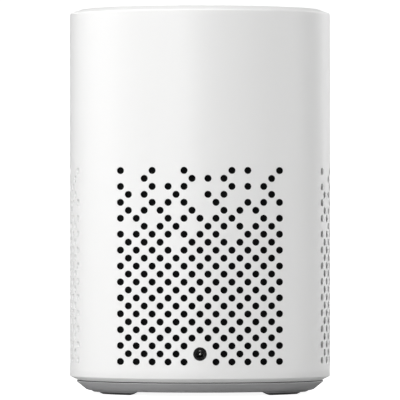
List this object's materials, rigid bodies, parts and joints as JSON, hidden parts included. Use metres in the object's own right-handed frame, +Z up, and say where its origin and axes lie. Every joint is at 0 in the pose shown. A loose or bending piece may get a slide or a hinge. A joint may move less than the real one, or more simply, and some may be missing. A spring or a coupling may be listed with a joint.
{
  "type": "smart speaker",
  "caption": "Small cylindrical smart speaker with a perforated shell, a downward-firing driver over a reflector, top keys in a light ring, a barrel power inlet and rubber feet.",
  "frame": {"origin": "centre of the footprint on the floor", "axes": "+Z up along the cylinder, +Y out of the back through the power inlet, front at -Y"},
  "size_m": [0.0935, 0.0934, 0.1378],
  "materials": {
    "shell_white": "satin, injection moulded",
    "panel_white": "fine satin",
    "key_white": "satin",
    "light_diffuser": "translucent",
    "grille_cloth": "fine acoustic weave",
    "base_grey": "fine texture",
    "foot_rubber": "matt",
    "seal_rubber": "matt",
    "screw_steel": "zinc plated",
    "screw_black": "black oxide",
    "board_green": "solder mask",
    "chip_black": "moulded epoxy",
    "tin": "tinned",
    "led_body": "clear resin",
    "mic_can": "gold flash",
    "chassis_plastic": "moulded",
    "enclosure_plastic": "moulded",
    "reflector_plastic": "moulded",
    "connector_ivory": "nylon",
    "inductor_ferrite": "ferrite",
    "capacitor_can": "satin",
    "ribbon_film": "polyester film",
    "antenna_copper": "copper foil",
    "lead_black": "PVC insulation",
    "lead_red": "PVC insulation",
    "basket_steel": "black powder coat",
    "plate_steel": "zinc plated",
    "magnet_ferrite": "ferrite",
    "terminal_fibre": "pressed fibre",
    "surround_rubber": "butyl",
    "spider_cloth": "resin-dipped cotton",
    "cone_paper": "pressed pulp",
    "former_foil": "foil",
    "coil_copper": "enamelled copper",
    "socket_black": "moulded",
    "contact_nickel": "nickel plated"
  },
  "bodies": {
    "speaker": {"outer_shell": "shell_white", "grille_cloth": "grille_cloth", "top_panel": "panel_white", "light_ring": "light_diffuser", "key_switches": "tin", "key_board": "board_green", "ring_leds": "led_body", "microphones": "mic_can", "mic_seals": "seal_rubber", "panel_screws": "screw_steel", "top_frame": "chassis_plastic", "frame_screws": "screw_steel", "main_board": "board_green", "board_screws": "screw_steel", "board_chips": "chip_black", "shield_can": "tin", "wifi_module": "tin", "power_inductors": "inductor_ferrite", "capacitors": "capacitor_can", "board_connectors": "connector_ivory", "ribbon_cable": "ribbon_film", "antenna": "antenna_copper", "antenna_lead": "lead_black", "enclosure_cup": "enclosure_plastic", "enclosure_baffle": "enclosure_plastic", "enclosure_seal": "seal_rubber", "enclosure_screws": "screw_steel", "speaker_lead": "lead_red", "lead_grommet": "seal_rubber", "driver_basket": "basket_steel", "driver_gasket": "seal_rubber", "driver_screws": "screw_black", "driver_top_plate": "plate_steel", "driver_magnet": "magnet_ferrite", "driver_yoke": "plate_steel", "driver_terminal": "terminal_fibre", "driver_surround": "surround_rubber", "driver_spider": "spider_cloth", "sound_reflector": "reflector_plastic", "jack_body": "socket_black", "jack_pin": "contact_nickel", "jack_contact": "contact_nickel", "jack_board": "board_green", "power_lead": "lead_black", "base_cover": "base_grey", "base_seal": "seal_rubber", "base_screws": "screw_black", "feet": "foot_rubber"},
    "volume_up_key": {"key_volume_up": "key_white", "plunger_volume_up": "chip_black"},
    "volume_down_key": {"key_volume_down": "key_white", "plunger_volume_down": "chip_black"},
    "action_key": {"key_action": "key_white", "plunger_action": "chip_black"},
    "mic_mute_key": {"key_mic_mute": "key_white", "plunger_mic_mute": "chip_black"},
    "moving_cone": {"driver_cone": "cone_paper", "dust_cap": "cone_paper", "coil_former": "former_foil", "voice_coil": "coil_copper"}
  },
  "joints": [
    {"name": "volume_up_press", "type": "slide", "parent": "speaker", "child": "volume_up_key", "axis": [0, 0, -1], "range_m": [0, 0.00035], "stiffness_N_per_m": 1500, "springref_m": -0.0004},
    {"name": "volume_down_press", "type": "slide", "parent": "speaker", "child": "volume_down_key", "axis": [0, 0, -1], "range_m": [0, 0.00035], "stiffness_N_per_m": 1500, "springref_m": -0.0004},
    {"name": "action_press", "type": "slide", "parent": "speaker", "child": "action_key", "axis": [0, 0, -1], "range_m": [0, 0.00035], "stiffness_N_per_m": 1500, "springref_m": -0.0004},
    {"name": "mic_mute_press", "type": "slide", "parent": "speaker", "child": "mic_mute_key", "axis": [0, 0, -1], "range_m": [0, 0.00035], "stiffness_N_per_m": 1500, "springref_m": -0.0004},
    {"name": "cone_travel", "type": "slide", "parent": "speaker", "child": "moving_cone", "axis": [0, 0, 1], "range_m": [-0.0015, 0.0015], "stiffness_N_per_m": 1200, "deforming": ["driver_surround", "driver_spider"]}
  ]
}
